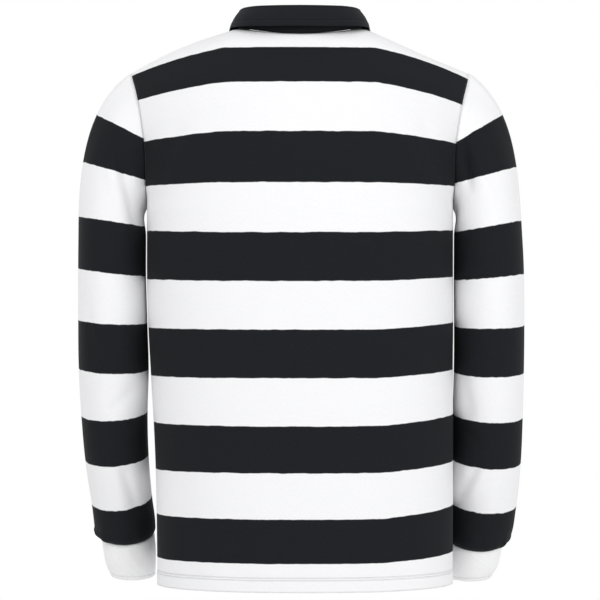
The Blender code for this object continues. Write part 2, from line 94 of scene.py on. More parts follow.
FRONT = np.array([
    (0.00, -0.7065, -0.7068, -0.7056, 0.1890, 0.0064, 0.110, 0.000, 90),
    (1.00, -0.6705, -0.6715, -0.6645, 0.1893, 0.0064, 0.111, 0.000, 90),
    (2.00, -0.6150, -0.6160, -0.6050, 0.1897, 0.0062, 0.112, 0.000, 90),
    (3.00, -0.5575, -0.5590, -0.5490, 0.1903, 0.0056, 0.114, 0.000, 90),
    (4.00, -0.4990, -0.4990, -0.4893, 0.1915, 0.0043, 0.116, 0.000, 90),
    (5.00, -0.4393, -0.4400, -0.4325, 0.1930, 0.0024, 0.118, 0.000, 90),
    (6.00, -0.3790, -0.3790, -0.3725, 0.1948, 0.0010, 0.120, 0.000, 90),
    (7.00, -0.3190, -0.3177, -0.3145, 0.1955, 0.0000, 0.122, 0.000, 90),
    (8.00, -0.2586, -0.2563, -0.2555, 0.1955, 0.0000, 0.124, 0.000, 90),
    (8.45, -0.2300, -0.2290, -0.2290, 0.1955, 0.0000, 0.124, 0.000, 90),
    (9.00, -0.1990, -0.2000, -0.2000, 0.1938, 0.0000, 0.123, 0.034, 76),
    (10.0, -0.1430, -0.1480, -0.1480, 0.1890, 0.0000, 0.115, 0.053, 62),
    (10.7, -0.1030, -0.1090, -0.1090, 0.1950, 0.0000, 0.099, 0.046, 56),
])
# The front yoke's hoops: z at the centre and course, and how steeply they fall outside DROP_START
FRONT_YOKE_HOOPS = np.array([
    (-0.106, 10.7),
    (-0.082, 11.0),
    (-0.040, 12.0),
    (0.010, TOP_COURSE),
])
FRONT_HOOP_FALL = 0.17

# z at the inner side, rise outward, rise forward, inner and outer x of the left and of the right arm,
# y of the axis, half depth
SLEEVE = np.array([
    (-0.2630, 0.215, 0.00, 0.1972, 0.2835, 0.1972, 0.2835, 0.004, 0.0580),
    (-0.3177, 0.177, 0.02, 0.1972, 0.2840, 0.1970, 0.2865, 0.003, 0.0575),
    (-0.3728, 0.100, 0.05, 0.1957, 0.2842, 0.1975, 0.2875, 0.005, 0.0560),
    (-0.4355, 0.060, 0.09, 0.1943, 0.2840, 0.1975, 0.2875, 0.010, 0.0540),
    (-0.4867, -0.050, 0.15, 0.1962, 0.2815, 0.1966, 0.2868, 0.018, 0.0510),
    (-0.5470, -0.070, 0.20, 0.1955, 0.2770, 0.1940, 0.2850, 0.030, 0.0470),
    (-0.6030, -0.050, 0.27, 0.1915, 0.2700, 0.1905, 0.2800, 0.044, 0.0430),
    (-0.6300, -0.060, 0.32, 0.1885, 0.2670, 0.1900, 0.2755, 0.053, 0.0410),
    (-0.6400, -0.060, 0.35, 0.1888, 0.2655, 0.1912, 0.2715, 0.056, 0.0385),
    (-0.6445, -0.060, 0.36, 0.1900, 0.2580, 0.1940, 0.2640, 0.057, 0.0340),
])
CUFF = np.array([
    (-0.6445, -0.060, 0.36, 0.1900, 0.2580, 0.1940, 0.2640, 0.057, 0.0340),
    (-0.6646, -0.045, 0.30, 0.1885, 0.2565, 0.1930, 0.2615, 0.063, 0.0335),
    (-0.6838, -0.025, 0.24, 0.1885, 0.2540, 0.1925, 0.2586, 0.070, 0.0320),
    (-0.7040, 0.000, 0.18, 0.1895, 0.2480, 0.1925, 0.2510, 0.077, 0.0295),
])
# z at the inner side as in the tables above, and where it hangs on the left and on the right arm
HANG = np.array([
    (-0.7040, -0.7045, -0.7060),
    (-0.6445, -0.6475, -0.6560),
    (-0.5000, -0.5000, -0.5000),
    (0.0000, 0.0000, 0.0000),
])
# The sleeve cap: angles in degrees below level at which it leaves the underarm and the shoulder, the
# handles of its curves as shares of their span, and how much it bulges to the front and the back
CAP_ANGLES = (50, 34)
CAP_HANDLES = (0.34, 0.36)
CAP_BULGE = 0.16

# The sleeves' hoops: course, z at the inner side and rise outward (left arm, then right), rise forward
SLEEVE_HOOPS = np.array([
    (1.40, -0.6475, -0.060, -0.6560, -0.060, 0.36),
    (2.00, -0.5985, -0.090, -0.6010, -0.080, 0.27),
    (3.00, -0.5445, -0.060, -0.5470, -0.070, 0.20),
    (4.00, -0.4877, -0.050, -0.4900, -0.050, 0.15),
    (5.00, -0.4340, 0.030, -0.4369, -0.005, 0.09),
    (6.00, -0.3738, 0.050, -0.3781, 0.017, 0.05),
    (7.00, -0.3141, 0.117, -0.3190, 0.092, 0.02),
    (8.00, -0.2507, 0.147, -0.2581, 0.175, 0.00),
    (9.00, -0.1920, 0.290, -0.1965, 0.270, 0.00),
    (10.0, -0.1407, 0.510, -0.1455, 0.600, 0.00),
    (10.6, -0.1050, 0.700, -0.1060, 0.700, 0.00),
    (10.9, -0.0600, 0.700, -0.0600, 0.700, 0.00),
])
# Distance from the centre line at which a sleeve hoop has its z, and the rounds that find a point's hoop
ARMHOLE_X = 0.196
HOOP_ROUNDS = 12

# share of the way from the back to the front, fold x, y, z, lower edge x, y, z
COLLAR = np.array([
    (0.000, 0.0000, -0.0690, 0.0262, 0.0000, -0.0840, -0.0010),
    (0.125, 0.0300, -0.0650, 0.0262, 0.0360, -0.0790, -0.0010),
    (0.250, 0.0560, -0.0500, 0.0265, 0.0650, -0.0620, 0.0005),
    (0.375, 0.0705, -0.0275, 0.0258, 0.0820, -0.0340, 0.0015),
    (0.500, 0.0735, 0.0000, 0.0230, 0.0880, 0.0020, 0.0010),
    (0.625, 0.0685, 0.0270, 0.0090, 0.0925, 0.0440, -0.0200),
    (0.750, 0.0530, 0.0500, -0.0120, 0.0880, 0.0780, -0.0540),
    (0.875, 0.0290, 0.0660, -0.0370, 0.0760, 0.1000, -0.0920),
    (1.000, 0.0040, 0.0730, -0.0560, 0.0600, 0.1080, -0.1260),
])
# Radius of the roll over the fold, bow of the leaf, and how far the open ends are drawn in
ROLL = 0.0015
FALL_BOW = 0.0020
COLLAR_END = 0.0015
# The leaf keeps this clear of the cloth that lies within the reach, moved in so many rounds
LEAF_CLEAR = 0.0022
LEAF_REACH = 0.03
LEAF_ROUNDS = 3
# The leaf's swell: height, distance from the edge, half width. Its wave: height, length of a radian, growth
LEAF_SWELL = (0.0006, 0.0035, 0.0025)
LEAF_WAVE = (0.0004, 0.019, 0.03)

# The placket: half width, courses of its ends below the yoke, how far its top is drawn in, rows and columns
PLACKET_HALF = 0.016
PLACKET_COURSES = (8.00, 10.70)
PLACKET_SHORT = 0.001
PLACKET_GRID = (61, 17)
BUTTON_RADIUS = 0.006
BUTTON_THICK = 0.0024
BUTTON_COURSES = (10.25, 9.25)
BUTTON_SIDES = 48
# What lies on another piece stands this far off it, and the thickness of the solids' placket
ON_CLOTH = 0.0004
CAD_JERSEY = 0.0016

# Creases seen from the back (-1) or the front (1): x and z of each end, side, half width, depth (in is minus)
LEFT_CREASES = (
    (-0.230, -0.150, -0.2010, -0.262, -1, 0.0080, -0.0052),
    (-0.243, -0.165, -0.2150, -0.275, -1, 0.0080, 0.0018),
    (-0.226, -0.556, -0.2080, -0.616, -1, 0.0060, -0.0030),
    (-0.240, -0.550, -0.2240, -0.625, -1, 0.0060, 0.0014),
    (-0.268, -0.355, -0.2620, -0.430, -1, 0.0050, -0.0012),
    (-0.208, -0.455, -0.2400, -0.485, -1, 0.0070, -0.0016),
    (-0.230, -0.150, -0.2050, -0.255, 1, 0.0090, -0.0045),
    (-0.206, -0.430, -0.2450, -0.470, 1, 0.0065, -0.0030),
    (-0.204, -0.465, -0.2400, -0.490, 1, 0.0060, -0.0022),
)
RIGHT_CREASES = (
    (0.2030, -0.135, 0.2130, -0.205, -1, 0.0065, -0.0050),
    (0.2200, -0.120, 0.2300, -0.215, -1, 0.0080, 0.0016),
    (0.2010, -0.500, 0.2300, -0.530, -1, 0.0060, -0.0022),
    (0.2260, -0.556, 0.2040, -0.600, -1, 0.0055, -0.0032),
    (0.2400, -0.550, 0.2200, -0.600, -1, 0.0060, 0.0014),
    (0.2050, -0.440, 0.2170, -0.494, -1, 0.0075, -0.0030),
    (0.2280, -0.145, 0.2060, -0.250, 1, 0.0090, -0.0045),
    (0.2080, -0.430, 0.2480, -0.465, 1, 0.0065, -0.0030),
    (0.2060, -0.470, 0.2420, -0.500, 1, 0.0060, -0.0020),
)
BODY_CREASES = (
    (-0.186, -0.215, -0.150, -0.120, -1, 0.0100, -0.0022),
    (0.187, -0.210, 0.152, -0.115, -1, 0.0100, -0.0022),
    (-0.150, -0.560, -0.135, -0.700, -1, 0.0140, -0.0016),
    (0.120, -0.575, 0.128, -0.705, -1, 0.0150, -0.0014),
    (-0.040, -0.590, -0.048, -0.705, -1, 0.0160, 0.0012),
    (-0.183, -0.215, -0.140, -0.125, 1, 0.0100, -0.0026),
    (0.183, -0.210, 0.142, -0.125, 1, 0.0100, -0.0026),
    (-0.110, -0.500, -0.118, -0.700, 1, 0.0150, -0.0020),
    (0.090, -0.520, 0.100, -0.700, 1, 0.0150, -0.0018),
)

# Creases: how fast they grow from their ends, what is left of them there, how far they go past an end in
# half widths, and how fast they grow as the cloth turns to the side they are seen from
CREASE_GROWTH = 3
CREASE_REST = 0.4
CREASE_PAST = 1.5
CREASE_TURN = 1.6
# Creases die away this near to a panel's side seams and to a sleeve's ends
PANEL_FADE = 0.010
SLEEVE_FADE = 0.012

# Troughs along seams: depth and half width
SIDE_SEAM = (0.0006, 0.0019)
TOP_SEAM = (0.0008, 0.0022)
HEM_SEAM = (0.0007, 0.0016)
CUFF_SEAM = (0.0009, 0.0020)
CUFF_TROUGH = (0.0005, 0.0012)
# The turned hem: how proud it stands, and the distance between its two rows of stitches
HEM_PROUD = 0.0006
HEM_ROWS = 0.003
# Gathers over the cuff: waves round the wrist, depth, reach up the sleeve, and what the seam holds flat
GATHER_WAVES = (11, 17)
GATHER_DEPTH = 0.0007
GATHER_REACH = 0.022
GATHER_FLAT = 0.004
# The cuffs: height of their ribs, and distance of their stitches from the wrist edge
RIB_HEIGHT = 0.00025
CUFF_STITCHES = 0.005
# Stitches: half width of a trough, and the share of each stitch that is hidden
STITCH_HALF = 0.0011
STITCH_HIDDEN = 0.25

# The stage: radius of the floor, and each softbox's place, the point it faces, its width and its power
FLOOR_RADIUS = 2.6
KEY_LIGHT = ((-1.5, -2.4, 1.5), (0, 0, -0.3), 1.6, 40)
FILL_LIGHT = ((1.8, -2.0, 0.2), (0, 0, -0.4), 1.6, 24)

# Grids finer than the solids' by these steps
ROW_STEPS = 7
COLUMN_STEPS = 4
# Rows below the underarm, rows from there to the shoulder seam, and how many of those are the yoke of the
# back and of the front
LOW = 17 * ROW_STEPS
ARM = 6 * COLUMN_STEPS * 2
YOKES = (8, 24)
# Columns of a shoulder and of the neck
SHOULDER = 5 * COLUMN_STEPS
NECK = 12 * COLUMN_STEPS
# Rows of the sleeve cap, of the arm, of the fullness over the cuff and of the cuff
CAP = 36
RINGS = 17 * ROW_STEPS
PUFF = 2 * ROW_STEPS
BAND = 4 * ROW_STEPS
# Rows of the collar's stand, roll and fall
STAND_ROWS = 14
ROLL_ROWS = 10
FALL_ROWS = 26


def table(rows, column, at):
    """A cubic curve through one column of a table, with each slope the mean of its neighbours'."""
    x = rows[:, 0]
    y = rows[:, column]
    slope = np.gradient(y, x)
    at = np.clip(at, x.min(), x.max())
    if x[0] > x[-1]:
        x, y, slope = x[::-1], y[::-1], slope[::-1]
    i = np.clip(np.searchsorted(x, at) - 1, 0, len(x) - 2)
    step = x[i + 1] - x[i]
    u = (at - x[i]) / step
    value = (2 * u**3 - 3 * u**2 + 1) * y[i] + (u**3 - 2 * u**2 + u) * step * slope[i]
    return value + (3 * u**2 - 2 * u**3) * y[i + 1] + (u**3 - u**2) * step * slope[i + 1]


def unit(v):
    """Each vector of an array divided by its length."""
    return v / np.maximum(np.linalg.norm(v, axis=-1, keepdims=True), 1e-12)


def courses(rows, course, across, facing):
    """Half rings of the torso: superellipses cut at the half angle, whose ends fall to the sides."""
    c, t = np.meshgrid(course, across, indexing="ij")
    centre, left, right, half, shift, depth, end, angle = [table(rows, k, c) for k in range(1, 9)]
    power = 2 + (RING_POWER - 2) * np.clip((angle - ROUND_ANGLE) / (SQUARE_ANGLE - ROUND_ANGLE), 0, 1)
    top = np.radians(angle)
    turn = np.abs(t) * top
    x = half * np.sign(t) * (np.sin(turn) / np.sin(top)) ** (2 / power)
    low = np.maximum(np.cos(top), 0) ** (2 / power)
    bulge = (np.maximum(np.cos(turn), 0) ** (2 / power) - low) / (1 - low)
    y = facing * (end + (depth - end) * bulge)
    fall = np.clip((np.abs(x) - DROP_START) / (half - DROP_START), 0, 1)
    fall = fall * ((1 - STRAIGHT_FALL) * fall + STRAIGHT_FALL)
    side = np.where(t < 0, left, right)
    return np.stack([x + shift, y, centre + (side - centre) * fall], axis=-1)


def top_line(facing, shoulder, neck):
    """Both shoulder seams as straight lines with a slight rise, joined by a half ellipse for the neckline."""
    share = np.linspace(0, 1, shoulder + 1)[:-1]
    seam = np.array(SHOULDER_POINT) + share[:, None] * (np.array(NECK_SIDE) - np.array(SHOULDER_POINT))
    up = np.sin(np.pi * share)[:, None] * (0.0, 0.0, 1.0)
    turn = np.linspace(0, np.pi, neck + 1)
    depth, height = BACK_NECK if facing < 0 else FRONT_NECK
    reach = np.sin(turn)
    rise = NECK_SIDE[2] + (height - NECK_SIDE[2]) * reach**2
    line = np.stack([-NECK_SIDE[0] * np.cos(turn), depth * reach, rise], axis=-1)
    left = (seam + SHOULDER_RISE[0] * up) * (-1, 1, 1)
    return np.concatenate([left, line, (seam + SHOULDER_RISE[1] * up)[::-1]])


def panel(rows, facing, low_rows, armhole_rows, yoke_rows, shoulder, neck):
    """Half rings from the hem to the yoke, then quadratic curves to the shoulder seams and the neckline."""
    across = np.linspace(-1, 1, 2 * shoulder + neck + 1)
    low = np.linspace(0, UNDERARM, low_rows + 1)
    high = np.linspace(UNDERARM, rows[-1, 0], armhole_rows - yoke_rows + 1)[1:]
    course = np.concatenate([low, high])
    body = courses(rows, course, across, facing)
    last = body[-1]
    top = top_line(facing, shoulder, neck)
    bend = last + (top - last) * YOKE_BEND
    share = np.linspace(0, 1, yoke_rows + 1)[1:, None, None]
    yoke = (1 - share) ** 2 * last + 2 * share * (1 - share) * bend + share**2 * top
    hoop = np.repeat(course[:, None], len(across), axis=1)
    if facing < 0:
        above = rows[-1, 0] + (TOP_COURSE - rows[-1, 0]) * np.repeat(share[:, :, 0], len(across), axis=1)
    else:
        fall = FRONT_HOOP_FALL * np.clip(np.abs(yoke[..., 0]) - DROP_START, 0, None)
        above = np.interp(yoke[..., 2] + fall, FRONT_YOKE_HOOPS[:, 0], FRONT_YOKE_HOOPS[:, 1])
    grid = np.concatenate([body, yoke])
    hoop = np.concatenate([hoop, above])
    return (grid, hoop) if facing < 0 else (grid[:, ::-1], hoop[:, ::-1])


def arm_rings(rows, height, turn, side):
    """Ellipses round the arm on planes that rise outward and forward, from the inner side by the back."""
    z, u = np.meshgrid(height, turn, indexing="ij")
    first = 3 if side < 0 else 5
    inner = table(rows, first, z)
    outer = table(rows, first + 1, z)
    out = (outer - inner) / 2 * (1 - np.cos(u))
    back = -table(rows, 8, z) * np.sin(u)
    x = side * (inner + out)
    hung = np.interp(z, HANG[:, 0], HANG[:, 1 if side < 0 else 2])
    level = hung + table(rows, 1, z) * out + table(rows, 2, z) * back
    return np.stack([x, table(rows, 7, z) + back, level], axis=-1)


def sleeve(back, front, low_rows, armhole_rows, cap_rows, rings, side):
    """The armhole loop joined to the upper arm by cubic curves, then rings down to the cuff."""
    rear = back[low_rows:, 0 if side < 0 else -1]
    fore = front[low_rows:, -1 if side < 0 else 0]
    loop = np.concatenate([rear, fore[-2:0:-1]])
    closed = np.concatenate([loop, loop[:1]])
    run = np.concatenate([[0], np.cumsum(np.linalg.norm(np.diff(closed, axis=0), axis=1))])
    turn = np.empty(2 * armhole_rows)
    turn[:armhole_rows] = np.pi * run[:armhole_rows] / run[armhole_rows]
    rest = run[armhole_rows:-1] - run[armhole_rows]
    turn[armhole_rows:] = np.pi * (1 + rest / (run[-1] - run[armhole_rows]))
    puff = np.linspace(SLEEVE[-3, 0], SLEEVE[-1, 0], PUFF + 1)[1:]
    height = np.concatenate([np.linspace(SLEEVE[0, 0], SLEEVE[-3, 0], rings + 1), puff])
    arm = arm_rings(SLEEVE[::-1], height, turn, side)
    share = np.linspace(0, 1, cap_rows + 1)[:-1, None, None]
    over = (1 - np.cos(turn)) / 2
    angle = np.radians(CAP_ANGLES[0] + (CAP_ANGLES[1] - CAP_ANGLES[0]) * over)
    away = np.stack([side * np.cos(angle), -CAP_BULGE * np.sin(turn), -np.sin(angle)], axis=-1)
    length = np.linalg.norm(arm[0] - loop, axis=1, keepdims=True)
    first = loop + CAP_HANDLES[0] * length * unit(away)
    second = arm[0] - CAP_HANDLES[1] * length * unit(arm[1] - arm[0])
    cap = (1 - share) ** 3 * loop + 3 * share * (1 - share) ** 2 * first
    cap = cap + 3 * share**2 * (1 - share) * second + share**3 * arm[0]
    grid = np.concatenate([cap, arm])
    return (grid if side < 0 else grid[:, ::-1]), turn


def sleeve_course(points, side):
    """Each point's height where the tilted plane through it meets the arm's inner side, read as a course."""
    first = 1 if side < 0 else 3
    course, inner, outward, forward = SLEEVE_HOOPS[:, (0, first, first + 1, 5)].T
    out = side * points[..., 0] - ARMHOLE_X
    axis = table(SLEEVE[::-1], 7, points[..., 2])
    ahead = points[..., 1] - axis
    z = points[..., 2].copy()
    for _ in range(HOOP_ROUNDS):
        lean = np.interp(z, inner, outward) * out + np.interp(z, inner, forward) * ahead
        z = 0.5 * z + 0.5 * (points[..., 2] - lean)
    return np.interp(z, inner, course)


def neck_loop(back, front, shoulder, neck):
    """The neckline from the centre front by the left side and the back round to the centre front."""
    middle = shoulder + neck // 2
    last = shoulder + neck
    return np.concatenate([front[-1, middle:last], back[-1, shoulder:last], front[-1, shoulder:middle + 1]])


def collar(loop, stand_rows, roll_rows, fall_rows):
    """A stand from the neckline to the fold, a half circle over the fold, and a fall with a slight bow."""
    place = np.linspace(-1, 1, len(loop))
    share = np.abs(place)
    side = np.sign(place)
    values = [table(COLLAR, k, share) for k in range(1, 7)]
    fold = np.stack([side * values[0], values[1], values[2]], axis=-1)
    edge = np.stack([side * values[3], values[4], values[5]], axis=-1)
    up = np.array((0.0, 0.0, 1.0))
    out = unit((edge - fold) * (1, 1, 0))
    base = fold - 2 * ROLL * up
    v = np.linspace(0, 1, stand_rows + 1)[:, None, None]
    stand = loop + v * (base - loop)
    a = np.linspace(0, np.pi, roll_rows + 1)[:, None, None]
    roll = base + ROLL * out - ROLL * np.cos(a) * out + ROLL * np.sin(a) * up
    v = np.linspace(0, 1, fall_rows + 1)[1:, None, None]
    fall = roll[-1] + v * (edge - roll[-1]) + FALL_BOW * np.sin(np.pi * v) * out
    return stand, np.concatenate([roll, fall])


def kept_off(points, under, facing, clear):
    """Points nearer than clear to the cloth under them, moved out along that cloth's normals."""
    flat = points.reshape(-1, 3).copy()
    for _ in range(LEAF_ROUNDS):
        gap = ((flat[:, None] - under[None]) ** 2).sum(axis=2)
        near = gap.argmin(axis=1)
        height = ((flat - under[near]) * facing[near]).sum(axis=1)
        lift = np.where(gap.min(axis=1) < LEAF_REACH**2, np.maximum(clear - height, 0), 0)
        flat += lift[:, None] * facing[near]
    return flat.reshape(points.shape)


def grid_faces(rows, columns, closed):
    """The four-sided faces of a grid of points, as rows of point numbers."""
    i, j = np.meshgrid(np.arange(rows - 1), np.arange(columns if closed else columns - 1), indexing="ij")
    k = (j + 1) % columns
    around = [i * columns + j, i * columns + k, (i + 1) * columns + k, (i + 1) * columns + j]
    return np.stack(around, axis=-1).reshape(-1, 4)


def shared_normals(grids, closed, groups):
    """The mean of the faces' normals at each point within each group of pieces, then the mean of the groups
    that are sewn together there, so that the normal halves the angle of a sharp fold at a seam."""
    points = np.concatenate([grid.reshape(-1, 3) for grid in grids])
    counts = [grid.shape[0] * grid.shape[1] for grid in grids]
    starts = np.concatenate([[0], np.cumsum(counts)])
    _, index = np.unique(np.round(points * 1e6).astype(np.int64), axis=0, return_inverse=True)
    index = index.reshape(-1)
    sums = np.zeros((max(groups) + 1, index.max() + 1, 3))
    for grid, wraps, start, group in zip(grids, closed, starts, groups):
        faces = grid_faces(grid.shape[0], grid.shape[1], wraps) + start
        corners = points[faces]
        normal = unit(np.cross(corners[:, 2] - corners[:, 0], corners[:, 3] - corners[:, 1]))
        for k in range(4):
            np.add.at(sums[group], index[faces[:, k]], normal)
    total = unit(unit(sums).sum(axis=0))[index]
    return [total[s:s + n].reshape(g.shape) for s, n, g in zip(starts, counts, grids)]


def lengths(grid, closed):
    """Distances on the cloth: across each row from its middle or first column, and up each column."""
    wide = np.concatenate([grid, grid[:, :1]], axis=1) if closed else grid
    across = np.linalg.norm(np.diff(wide, axis=1), axis=2)
    across = np.concatenate([np.zeros((len(grid), 1)), np.cumsum(across, axis=1)], axis=1)
    if not closed:
        across = across - across[:, across.shape[1] // 2][:, None]
    along = np.linalg.norm(np.diff(wide, axis=0), axis=2)
    along = np.concatenate([np.zeros((1, wide.shape[1])), np.cumsum(along, axis=0)])
    return across, along


def creased(grid, normal, creases):
    """How far each point moves along its normal: a bell across each crease, which fades towards its ends."""
    moved = np.zeros(grid.shape[:2])
    for x0, z0, x1, z1, side, wide, deep in creases:
        run = np.array((x1 - x0, z1 - z0))
        ahead = np.stack([grid[..., 0] - x0, grid[..., 2] - z0], axis=-1)
        share = (ahead @ run) / (run @ run)
        length = np.hypot(*run)
        off = np.abs(ahead[..., 0] * run[1] - ahead[..., 1] * run[0]) / length
        past = np.maximum(np.abs(share - 0.5) - 0.5, 0) * length
        fade = np.clip(np.minimum(share, 1 - share) * CREASE_GROWTH + CREASE_REST, 0, 1)
        bell = np.exp(-((off / wide) ** 2)) * np.exp(-((past / (CREASE_PAST * wide)) ** 2)) * fade
        moved += deep * bell * np.clip(CREASE_TURN * side * normal[..., 1], 0, 1)
    return moved


def seam_dip(distance, deep, wide):
    """A soft trough along a seam: deep at it, and fading with the square of the distance."""
    return -deep * np.exp(-((distance / wide) ** 2))


@functools.lru_cache(maxsize=1)
def shirt():
    """Every sewn piece's points, its normals shared over the seams, and the course of each point."""
    back, back_hoop = panel(BACK, -1, LOW, ARM, YOKES[0], SHOULDER, NECK)
    front, front_hoop = panel(FRONT, 1, LOW, ARM, YOKES[1], SHOULDER, NECK)
    left, left_turn = sleeve(back, front, LOW, ARM, CAP, RINGS, -1)
    right, right_turn = sleeve(back, front, LOW, ARM, CAP, RINGS, 1)
    height = np.linspace(CUFF[0, 0], CUFF[-1, 0], BAND + 1)
    cuff_left = arm_rings(CUFF[::-1], height, left_turn, -1)
    cuff_right = arm_rings(CUFF[::-1], height, right_turn, 1)[:, ::-1]
    stand, leaf = collar(neck_loop(back, front, SHOULDER, NECK), STAND_ROWS, ROLL_ROWS, FALL_ROWS)
    # Every third row and second column of the torso is close enough to keep the leaf clear of it
    under = np.concatenate([back[::3, ::2].reshape(-1, 3), front[::3, ::2].reshape(-1, 3)])
    facing = [n[::3, ::2].reshape(-1, 3) for n in shared_normals([back, front], [False, False], [0, 0])]
    leaf[ROLL_ROWS:] = kept_off(leaf[ROLL_ROWS:], under, np.concatenate(facing), LEAF_CLEAR)
    names = ["back", "front", "sleeve_left", "sleeve_right", "cuff_left", "cuff_right", "stand", "leaf"]
    grids = [back, front, left, right, cuff_left, cuff_right, stand, leaf]
    closed = [False, False, True, True, True, True, False, False]
    normals = shared_normals(grids, closed, [0, 0, 1, 2, 3, 4, 5, 6])
    hoops = {
        "back": back_hoop,
        "front": front_hoop,
        "sleeve_left": sleeve_course(left, -1),
        "sleeve_right": sleeve_course(right, 1),
    }
    return dict(zip(names, zip(grids, normals))), hoops


def linear(code):
    """An sRGB hex colour as linear red, green and blue, with a full alpha."""
    parts = [int(code[k:k + 2], 16) / 255 for k in (1, 3, 5)]
    parts = [v / 12.92 if v <= 0.04045 else ((v + 0.055) / 1.055) ** 2.4 for v in parts]
    return (*parts, 1.0)


def add(tree, kind, inputs=None, **settings):
    """One node with its settings; an input is a value, or the output that it is linked to."""
    made = tree.nodes.new(kind)
    for name, value in settings.items():
        setattr(made, name, value)
    for name, value in (inputs or {}).items():
        if isinstance(value, bpy.types.NodeSocket):
            tree.links.new(value, made.inputs[name])
        else:
            made.inputs[name].default_value = value
    return made


def new_material(name):
    """An empty material with its shader and node tree."""
    made = bpy.data.materials.new(name)
    made.use_nodes = True
    return made, made.node_tree, made.node_tree.nodes["Principled BSDF"]


def cloth_shader(shader, roughness, sheen, tint):
    """What cotton gives the eye: no gloss, a soft edge of light from the fibre ends."""
    shader.inputs["Roughness"].default_value = roughness
    shader.inputs["IOR"].default_value = 1.45
    shader.inputs["Specular IOR Level"].default_value = 0.15
    shader.inputs["Sheen Weight"].default_value = sheen
    shader.inputs["Sheen Roughness"].default_value = 0.45
    shader.inputs["Sheen Tint"].default_value = tint


def maths(tree, operation, *values):
    """The result of one step of arithmetic on values or outputs."""
    return add(tree, "ShaderNodeMath", dict(enumerate(values)), operation=operation).outputs[0]


def smooth_step(tree, value, start, end, low, high):
    """A smooth change from low to high while the value goes from start to end."""
    inputs = {"Value": value, "From Min": start, "From Max": end, "To Min": low, "To Max": high}
    return add(tree, "ShaderNodeMapRange", inputs, interpolation_type="SMOOTHSTEP").outputs[0]


def noise(tree, place, scale, detail):
    """Noise from 0 to 1 over a place."""
    inputs = {"Vector": place, "Scale": scale, "Detail": detail}
    return add(tree, "ShaderNodeTexNoise", inputs).outputs["Fac"]


def mixed(tree, share, low, high):
    """A colour between two, each of which is a colour or an output."""
    return add(tree, "ShaderNodeMix", {"Factor": share, 6: low, 7: high}, data_type="RGBA").outputs[2]


def kept_value(tree, name):
    """A value that is kept on the points of the cloth."""
    return add(tree, "ShaderNodeAttribute", attribute_name=name).outputs["Fac"]


def cloth_lengths(tree):
    """The cloth's own lengths from the UV map: both together, then across and along."""
    uv = add(tree, "ShaderNodeUVMap", uv_map="cloth").outputs[0]
    split = add(tree, "ShaderNodeSeparateXYZ", {0: uv})
    return uv, split.outputs[0], split.outputs[1]


def ripple(tree, length, spacing):
    """A sine wave along a length."""
    return maths(tree, "SINE", maths(tree, "MULTIPLY", length, 2 * math.pi / spacing))


def relief(tree, shader, height, strength, distance):
    """Raises the cloth by a height, and returns the normal that it gets."""
    inputs = {"Height": height, "Strength": strength, "Distance": distance}
    normal = add(tree, "ShaderNodeBump", inputs).outputs[0]
    tree.links.new(normal, shader.inputs["Normal"])
    return normal


def stitched(tree, shader, normal, troughs, strength, distance):
    """Sinks the stitches into the relief that is already there."""
    inputs = {"Height": troughs, "Strength": strength, "Distance": distance, "Normal": normal}
    tree.links.new(add(tree, "ShaderNodeBump", inputs, invert=True).outputs[0], shader.inputs["Normal"])


def stitch_height(tree, across, edge, places, length):
    """Dashed troughs at the given distances from an edge, one dash for each stitch."""
    run = maths(tree, "FLOORED_MODULO", across, length)
    dash = maths(tree, "GREATER_THAN", run, STITCH_HIDDEN * length)
    total = None
    for place in places:
        off = maths(tree, "ABSOLUTE", maths(tree, "SUBTRACT", edge, place))
        line = maths(tree, "MULTIPLY", smooth_step(tree, off, 0.0, STITCH_HALF, 1.0, 0.0), dash)
        total = line if total is None else maths(tree, "MAXIMUM", total, line)
    return total


def hooped_jersey(name, sizes, stitches):
    """Heavy cotton jersey, circular knitted in yarn-dyed hoops: matt, faintly ribbed by its wales, with a
    little fibre haze. Wales are drawn at 1.5 mm, coarser than the real 0.8, so that they show."""
    made, tree, shader = new_material(name)
    uv, across, along = cloth_lengths(tree)
    # Rounded wales, crossed by rows of loops that are closer together and half as high
    wales = ripple(tree, across, sizes.wale)
    knit = maths(tree, "MULTIPLY_ADD", ripple(tree, along, 0.8 * sizes.wale), 0.5, wales)
    # The hoops' edges waver by less than two hundredths of a course, and are nearly sharp
    waver = maths(tree, "SUBTRACT", noise(tree, uv, scale=55.0, detail=2.0), 0.5)
    course = maths(tree, "MULTIPLY_ADD", waver, 0.035, kept_value(tree, "course"))
    wave = maths(tree, "SINE", maths(tree, "MULTIPLY", course, -math.pi))
    hoop = smooth_step(tree, wave, -0.03, 0.03, 0.0, 1.0)
    stretch = add(tree, "ShaderNodeMapping", {"Vector": uv, "Scale": (900.0, 260.0, 1.0)})
    fibre = noise(tree, stretch.outputs[0], scale=1.0, detail=3.0)
    dark = mixed(tree, fibre, (*sizes.black_low, 1.0), (*sizes.black_high, 1.0))
    pale = mixed(tree, fibre, (*sizes.white_low, 1.0), (*sizes.white_high, 1.0))
    tree.links.new(mixed(tree, hoop, pale, dark), shader.inputs["Base Color"])
    height = maths(tree, "MULTIPLY_ADD", fibre, 0.8, knit)
    normal = relief(tree, shader, height, strength=0.16, distance=0.0004)
    if stitches:
        troughs = stitch_height(tree, across, kept_value(tree, "edge"), stitches, length=0.0032)
        stitched(tree, shader, normal, troughs, strength=0.8, distance=0.0012)
    cloth_shader(shader, roughness=0.88, sheen=0.03, tint=(1.0, 1.0, 1.0, 1.0))
    return made


